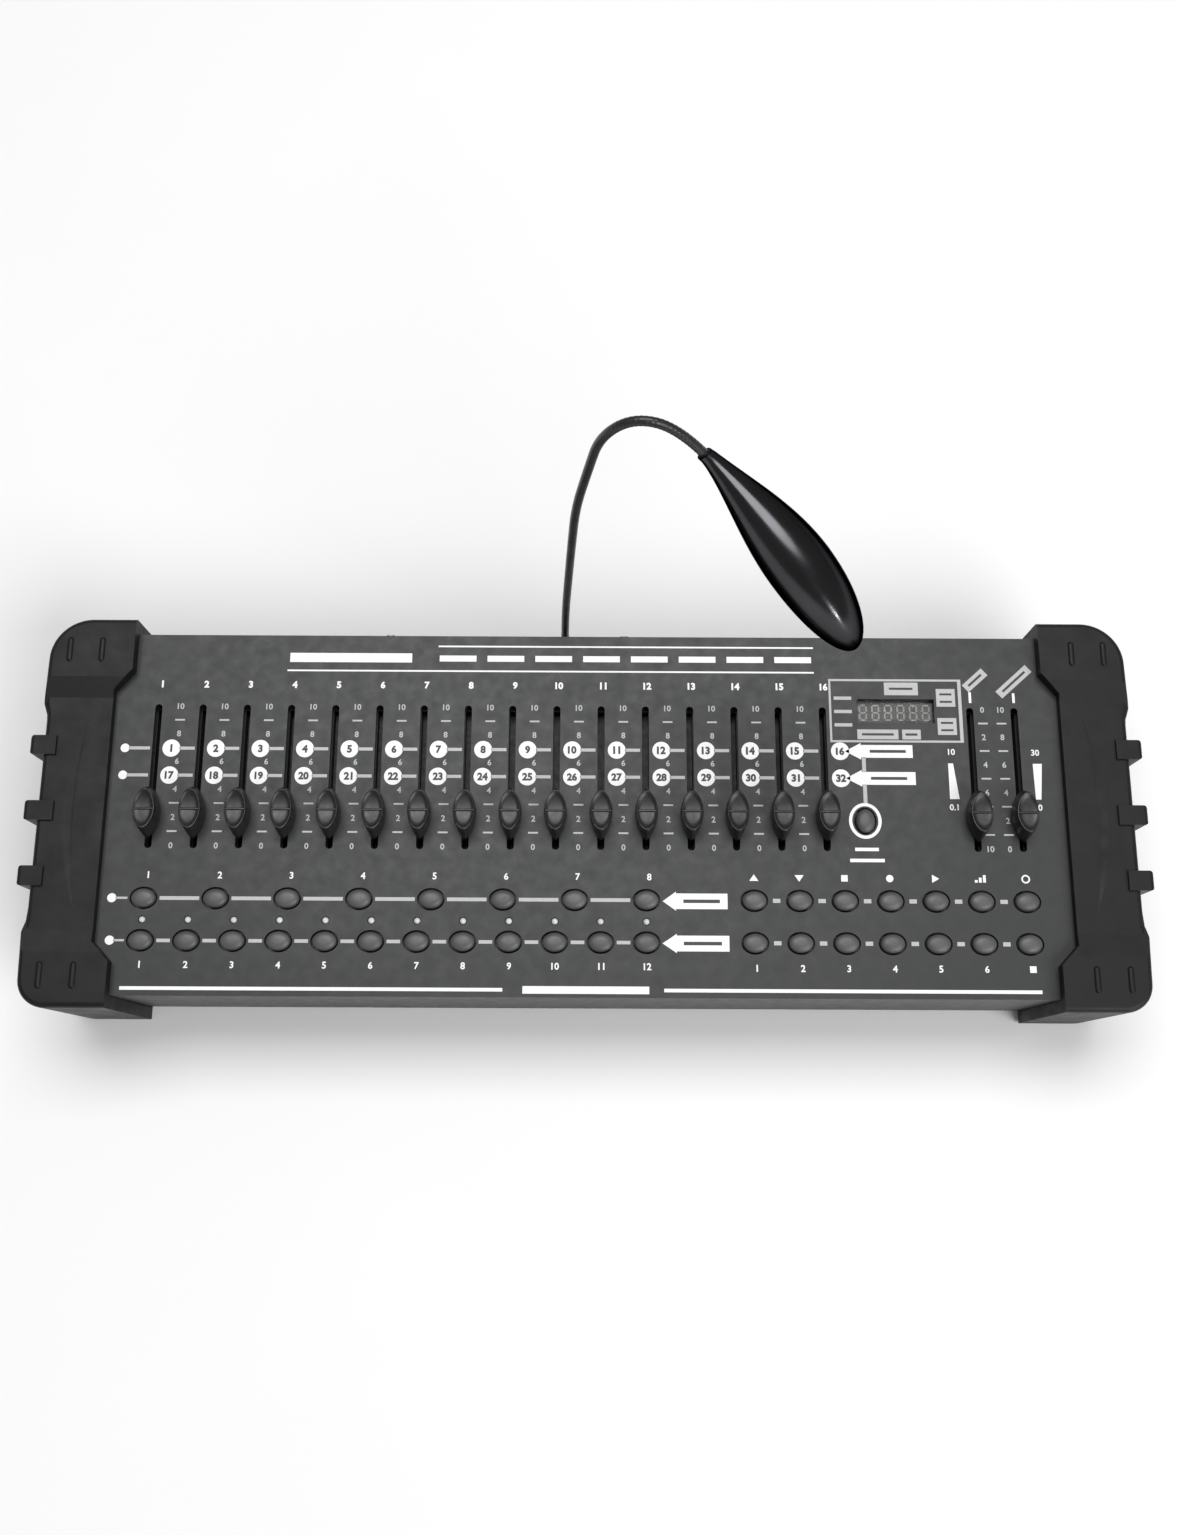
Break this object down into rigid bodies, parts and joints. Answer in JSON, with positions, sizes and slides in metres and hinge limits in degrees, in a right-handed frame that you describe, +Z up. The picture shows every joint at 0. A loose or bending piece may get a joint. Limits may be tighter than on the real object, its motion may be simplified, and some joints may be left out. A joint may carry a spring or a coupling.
{
  "type": "lighting control desk",
  "caption": "Stage lighting control desk: sliding channel faders, press buttons and a display on a metal panel between rubber end caps, with a bendable lamp at the rear.",
  "frame": {"origin": "middle of the desk's footprint, on the surface that the feet stand on", "axes": "+X to the operator's right, +Y from the operator to the rear panel, +Z up"},
  "size_m": [0.5208, 0.1915, 0.2663],
  "materials": {
    "panel_paint": "satin dark grey paint",
    "tray_paint": "fine textured black paint",
    "bumper": "matte black moulded rubber",
    "fader_knob": "fine matte black",
    "button": "matte dark grey",
    "track": "dark nickel",
    "circuit_board": "green solder mask",
    "switch_body": "black moulded",
    "display": "dark display housing",
    "display_window": "smoked clear",
    "led": "diffused lamp",
    "standoff": "nickel plated",
    "socket": "dark nickel plated",
    "socket_plastic": "black moulded",
    "switch_cap": "gloss black",
    "screw": "black zinc",
    "foot": "matte black",
    "gooseneck": "satin black sleeve",
    "lamp_shell": "high gloss black",
    "lamp_lens": "clear"
  },
  "bodies": {
    "desk": {"audio_socket": "socket_plastic", "base_tray": "tray_paint", "board_standoffs": "standoff", "button_switches": "switch_body", "connector_board": "circuit_board", "control_board": "circuit_board", "dc_inlet": "socket_plastic", "display_module": "display", "display_window": "display_window", "dmx_sockets": "socket", "end_cap_left": "bumper", "end_cap_right": "bumper", "fader_tracks": "track", "lamp_plug": "gooseneck", "lamp_socket": "socket_plastic", "midi_socket": "socket_plastic", "polarity_switch_body": "switch_body", "power_switch_frame": "socket_plastic", "rubber_feet": "foot", "scanner_leds": "led", "screws": "screw", "top_panel": "panel_paint"},
    "fader_01": {"fader_knob_01": "fader_knob"},
    "fader_02": {"fader_knob_02": "fader_knob"},
    "fader_03": {"fader_knob_03": "fader_knob"},
    "fader_04": {"fader_knob_04": "fader_knob"},
    "fader_05": {"fader_knob_05": "fader_knob"},
    "fader_06": {"fader_knob_06": "fader_knob"},
    "fader_07": {"fader_knob_07": "fader_knob"},
    "fader_08": {"fader_knob_08": "fader_knob"},
    "fader_09": {"fader_knob_09": "fader_knob"},
    "fader_10": {"fader_knob_10": "fader_knob"},
    "fader_11": {"fader_knob_11": "fader_knob"},
    "fader_12": {"fader_knob_12": "fader_knob"},
    "fader_13": {"fader_knob_13": "fader_knob"},
    "fader_14": {"fader_knob_14": "fader_knob"},
    "fader_15": {"fader_knob_15": "fader_knob"},
    "fader_16": {"fader_knob_16": "fader_knob"},
    "fader_fade": {"fader_knob_fade": "fader_knob"},
    "fader_speed": {"fader_knob_speed": "fader_knob"},
    "scene_button_1": {"button_scene_1": "button"},
    "scene_button_2": {"button_scene_2": "button"},
    "scene_button_3": {"button_scene_3": "button"},
    "scene_button_4": {"button_scene_4": "button"},
    "scene_button_5": {"button_scene_5": "button"},
    "scene_button_6": {"button_scene_6": "button"},
    "scene_button_7": {"button_scene_7": "button"},
    "scene_button_8": {"button_scene_8": "button"},
    "scanner_buttons": {"buttons_scanner": "button"},
    "function_buttons": {"buttons_function": "button"},
    "chase_buttons": {"buttons_chase": "button"},
    "blackout_button": {"button_blackout": "button"},
    "page_button": {"button_page": "button"},
    "polarity_switch": {"polarity_switch_slider": "switch_cap"},
    "power_rocker": {"power_rocker": "switch_cap"},
    "lamp_arm_lower": {"gooseneck_lower": "gooseneck"},
    "lamp_arm_upper": {"gooseneck_upper": "gooseneck"},
    "lamp_head": {"lamp_head_shell": "lamp_shell", "lamp_lens": "lamp_lens", "lamp_led_board": "circuit_board"}
  },
  "joints": [
    {"name": "lamp_swivel", "type": "hinge", "parent": "desk", "child": "lamp_arm_lower", "pos_m": [-0.0109, 0.096, 0.045], "axis": [0, 0, 1], "range_deg": [-60, 60]},
    {"name": "lamp_bend", "type": "hinge", "parent": "lamp_arm_lower", "child": "lamp_arm_upper", "pos_m": [-0.0062, 0.0972, 0.158], "axis": [1, 0, 0], "range_deg": [-30, 30]},
    {"name": "lamp_head_tilt", "type": "hinge", "parent": "lamp_arm_upper", "child": "lamp_head", "pos_m": [0.0422, 0.092, 0.2496], "axis": [-0.5868, -0.8097, 0], "range_deg": [-35, 35]},
    {"name": "power_rocker_rock", "type": "hinge", "parent": "desk", "child": "power_rocker", "pos_m": [0.196, 0.085, 0.034], "axis": [1, 0, 0], "range_deg": [-18, 0]},
    {"name": "polarity_switch_slide", "type": "slide", "parent": "desk", "child": "polarity_switch", "axis": [1, 0, 0], "range_m": [0, 0.0034]},
    {"name": "fader_01_slide", "type": "slide", "parent": "desk", "child": "fader_01", "axis": [0, 1, 0], "range_m": [-0.0117, 0.0483]},
    {"name": "fader_speed_slide", "type": "slide", "parent": "desk", "child": "fader_speed", "axis": [0, 1, 0], "range_m": [-0.0117, 0.0483]},
    {"name": "page_button_press", "type": "slide", "parent": "desk", "child": "page_button", "axis": [0, 0, -1], "range_m": [0, 0.001], "stiffness_N_per_m": 600},
    {"name": "scanner_buttons_press", "type": "slide", "parent": "desk", "child": "scanner_buttons", "axis": [0, 0, -1], "range_m": [0, 0.001], "stiffness_N_per_m": 7200},
    {"name": "function_buttons_press", "type": "slide", "parent": "desk", "child": "function_buttons", "axis": [0, 0, -1], "range_m": [0, 0.001], "stiffness_N_per_m": 4200},
    {"name": "chase_buttons_press", "type": "slide", "parent": "desk", "child": "chase_buttons", "axis": [0, 0, -1], "range_m": [0, 0.001], "stiffness_N_per_m": 3600},
    {"name": "blackout_button_press", "type": "slide", "parent": "desk", "child": "blackout_button", "axis": [0, 0, -1], "range_m": [0, 0.001], "stiffness_N_per_m": 600},
    {"name": "scene_button_1_press", "type": "slide", "parent": "desk", "child": "scene_button_1", "axis": [0, 0, -1], "range_m": [0, 0.001], "stiffness_N_per_m": 600},
    {"name": "fader_02_slide", "type": "slide", "parent": "desk", "child": "fader_02", "axis": [0, 1, 0], "range_m": [-0.0117, 0.0483]},
    {"name": "fader_03_slide", "type": "slide", "parent": "desk", "child": "fader_03", "axis": [0, 1, 0], "range_m": [-0.0117, 0.0483]},
    {"name": "fader_04_slide", "type": "slide", "parent": "desk", "child": "fader_04", "axis": [0, 1, 0], "range_m": [-0.0117, 0.0483]},
    {"name": "fader_05_slide", "type": "slide", "parent": "desk", "child": "fader_05", "axis": [0, 1, 0], "range_m": [-0.0117, 0.0483]},
    {"name": "fader_06_slide", "type": "slide", "parent": "desk", "child": "fader_06", "axis": [0, 1, 0], "range_m": [-0.0117, 0.0483]},
    {"name": "fader_07_slide", "type": "slide", "parent": "desk", "child": "fader_07", "axis": [0, 1, 0], "range_m": [-0.0117, 0.0483]},
    {"name": "fader_08_slide", "type": "slide", "parent": "desk", "child": "fader_08", "axis": [0, 1, 0], "range_m": [-0.0117, 0.0483]},
    {"name": "fader_09_slide", "type": "slide", "parent": "desk", "child": "fader_09", "axis": [0, 1, 0], "range_m": [-0.0117, 0.0483]},
    {"name": "fader_10_slide", "type": "slide", "parent": "desk", "child": "fader_10", "axis": [0, 1, 0], "range_m": [-0.0117, 0.0483]},
    {"name": "fader_11_slide", "type": "slide", "parent": "desk", "child": "fader_11", "axis": [0, 1, 0], "range_m": [-0.0117, 0.0483]},
    {"name": "fader_12_slide", "type": "slide", "parent": "desk", "child": "fader_12", "axis": [0, 1, 0], "range_m": [-0.0117, 0.0483]},
    {"name": "fader_13_slide", "type": "slide", "parent": "desk", "child": "fader_13", "axis": [0, 1, 0], "range_m": [-0.0117, 0.0483]},
    {"name": "fader_14_slide", "type": "slide", "parent": "desk", "child": "fader_14", "axis": [0, 1, 0], "range_m": [-0.0117, 0.0483]},
    {"name": "fader_15_slide", "type": "slide", "parent": "desk", "child": "fader_15", "axis": [0, 1, 0], "range_m": [-0.0117, 0.0483]},
    {"name": "fader_16_slide", "type": "slide", "parent": "desk", "child": "fader_16", "axis": [0, 1, 0], "range_m": [-0.0117, 0.0483]},
    {"name": "fader_fade_slide", "type": "slide", "parent": "desk", "child": "fader_fade", "axis": [0, 1, 0], "range_m": [-0.0117, 0.0483]},
    {"name": "scene_button_2_press", "type": "slide", "parent": "desk", "child": "scene_button_2", "axis": [0, 0, -1], "range_m": [0, 0.001], "stiffness_N_per_m": 600},
    {"name": "scene_button_3_press", "type": "slide", "parent": "desk", "child": "scene_button_3", "axis": [0, 0, -1], "range_m": [0, 0.001], "stiffness_N_per_m": 600},
    {"name": "scene_button_4_press", "type": "slide", "parent": "desk", "child": "scene_button_4", "axis": [0, 0, -1], "range_m": [0, 0.001], "stiffness_N_per_m": 600},
    {"name": "scene_button_5_press", "type": "slide", "parent": "desk", "child": "scene_button_5", "axis": [0, 0, -1], "range_m": [0, 0.001], "stiffness_N_per_m": 600},
    {"name": "scene_button_6_press", "type": "slide", "parent": "desk", "child": "scene_button_6", "axis": [0, 0, -1], "range_m": [0, 0.001], "stiffness_N_per_m": 600},
    {"name": "scene_button_7_press", "type": "slide", "parent": "desk", "child": "scene_button_7", "axis": [0, 0, -1], "range_m": [0, 0.001], "stiffness_N_per_m": 600},
    {"name": "scene_button_8_press", "type": "slide", "parent": "desk", "child": "scene_button_8", "axis": [0, 0, -1], "range_m": [0, 0.001], "stiffness_N_per_m": 600}
  ]
}
